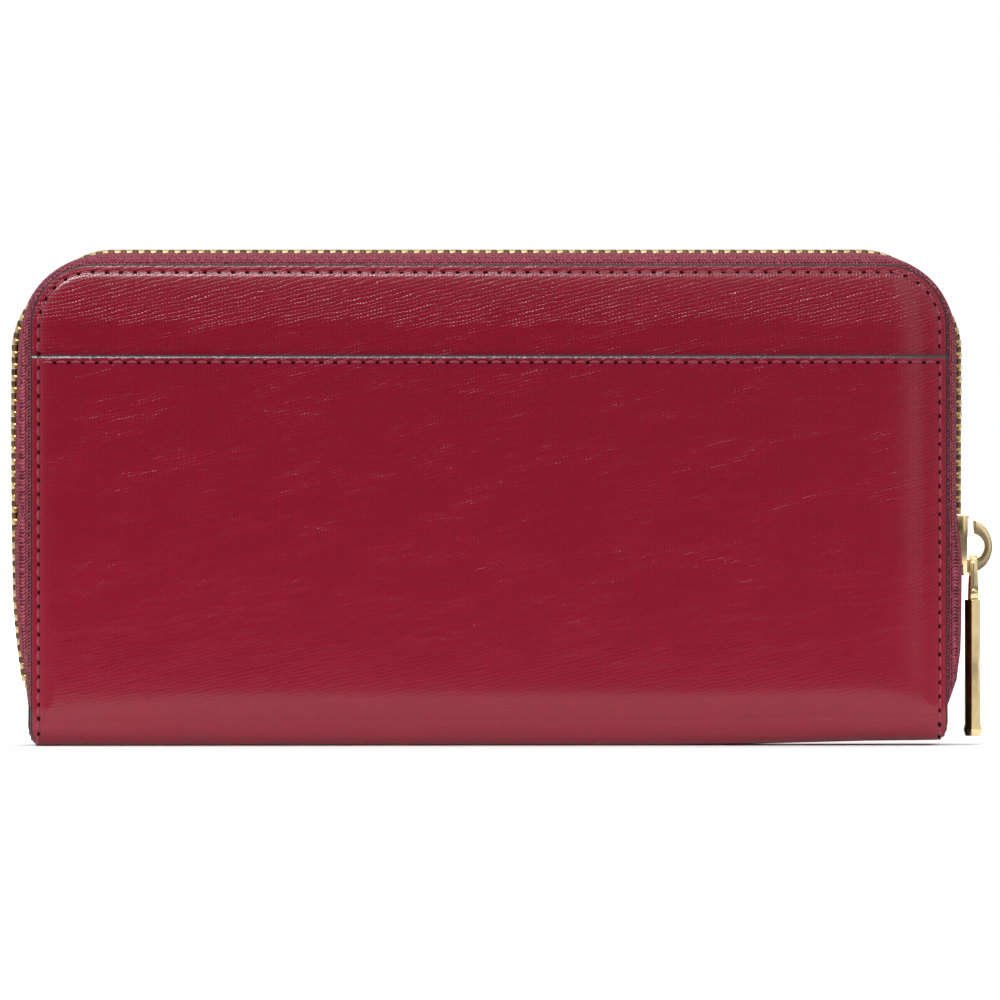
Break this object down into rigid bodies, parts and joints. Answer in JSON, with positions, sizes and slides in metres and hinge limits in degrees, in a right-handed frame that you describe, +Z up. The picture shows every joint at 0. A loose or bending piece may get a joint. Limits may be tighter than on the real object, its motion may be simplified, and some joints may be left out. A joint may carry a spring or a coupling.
{
  "type": "long wallet",
  "caption": "Zip-around long wallet in embossed wine-red leather, with a slip pocket on its back, a gold zip and bar pull, card rows and a zipped coin pocket.",
  "frame": {"origin": "middle of the spine's flat underside, on which the closed wallet stands", "axes": "+X along the wallet, towards the slider; +Y from the rear face with the slip pocket to the front face; +Z up from the spine to the zip"},
  "size_m": [0.2018, 0.0256, 0.102],
  "materials": {
    "outer_leather": "glossy coated leather with a fine embossed cross-grain, wine red",
    "card_leather": "smooth satin leather, dark wine red",
    "lining_cloth": "fine plain-weave lining cloth, dark wine",
    "zip_tape": "woven herringbone zip tape, dusty pink red",
    "zip_metal": "polished gold-coloured teeth and stops",
    "gold_plate": "polished pale gold plating",
    "board": "grey-brown stiffening board",
    "foam": "thin off-white backing foam"
  },
  "bodies": {
    "core": {"spine_leather": "outer_leather", "spine_board": "board", "spine_lining": "lining_cloth", "coin_wall_rear": "lining_cloth", "coin_wall_front": "lining_cloth", "coin_tape_rear": "zip_tape", "coin_tape_front": "zip_tape", "coin_teeth": "zip_metal", "coin_stops": "zip_metal", "coin_binding_left": "lining_cloth", "coin_binding_right": "lining_cloth", "gusset_rear_left": "lining_cloth", "gusset_rear_right": "lining_cloth", "gusset_front_left": "lining_cloth", "gusset_front_right": "lining_cloth", "bottom_stop": "zip_metal"},
    "rear_half": {"rear_pocket_leather": "outer_leather", "rear_back_panel": "outer_leather", "rear_board": "board", "rear_lining": "lining_cloth", "rear_card_row_1": "card_leather", "rear_card_row_2": "card_leather", "rear_card_row_3": "card_leather", "rear_tape": "zip_tape", "rear_teeth": "zip_metal", "rear_top_stop": "zip_metal"},
    "front_half": {"front_leather": "outer_leather", "front_padding": "foam", "front_board": "board", "front_lining": "lining_cloth", "front_card_row_1": "card_leather", "front_card_row_2": "card_leather", "front_card_row_3": "card_leather", "front_tape": "zip_tape", "front_teeth": "zip_metal", "front_top_stop": "zip_metal"},
    "slider": {"slider_body": "gold_plate", "slider_hook": "gold_plate"},
    "pull_link": {"link_strap": "gold_plate", "link_pin": "gold_plate"},
    "pull_bar": {"pull_bar": "gold_plate"},
    "coin_slider": {"coin_slider_body": "gold_plate", "coin_slider_bail": "gold_plate"},
    "coin_pull": {"coin_pull_tab": "gold_plate"}
  },
  "joints": [
    {"name": "rear_cover_fold", "type": "hinge", "parent": "core", "child": "rear_half", "pos_m": [0, -0.0128, 0.0038], "axis": [1, 0, 0], "range_deg": [0, 22], "deforming": ["gusset_rear_left", "gusset_rear_right", "rear_teeth"]},
    {"name": "front_cover_fold", "type": "hinge", "parent": "core", "child": "front_half", "pos_m": [0, 0.0128, 0.0038], "axis": [-1, 0, 0], "range_deg": [0, 22], "deforming": ["gusset_front_left", "gusset_front_right", "front_teeth"]},
    {"name": "slider_run", "type": "slide", "parent": "rear_half", "child": "slider", "axis": [0, 0, 1], "range_m": [0, 0.033]},
    {"name": "pull_link_swing", "type": "hinge", "parent": "slider", "child": "pull_link", "pos_m": [0.09925, 0, 0.0408], "axis": [0, -1, 0], "range_deg": [0, 90]},
    {"name": "pull_bar_swing", "type": "hinge", "parent": "pull_link", "child": "pull_bar", "pos_m": [0.10015, 0, 0.0314], "axis": [0, -1, 0], "range_deg": [0, 85]},
    {"name": "coin_slider_run", "type": "slide", "parent": "core", "child": "coin_slider", "axis": [1, 0, 0], "range_m": [0, 0.146], "deforming": ["coin_teeth"]},
    {"name": "coin_pull_swing", "type": "hinge", "parent": "coin_slider", "child": "coin_pull", "pos_m": [-0.075, 0, 0.0881], "axis": [0, -1, 0], "range_deg": [0, 160]}
  ]
}
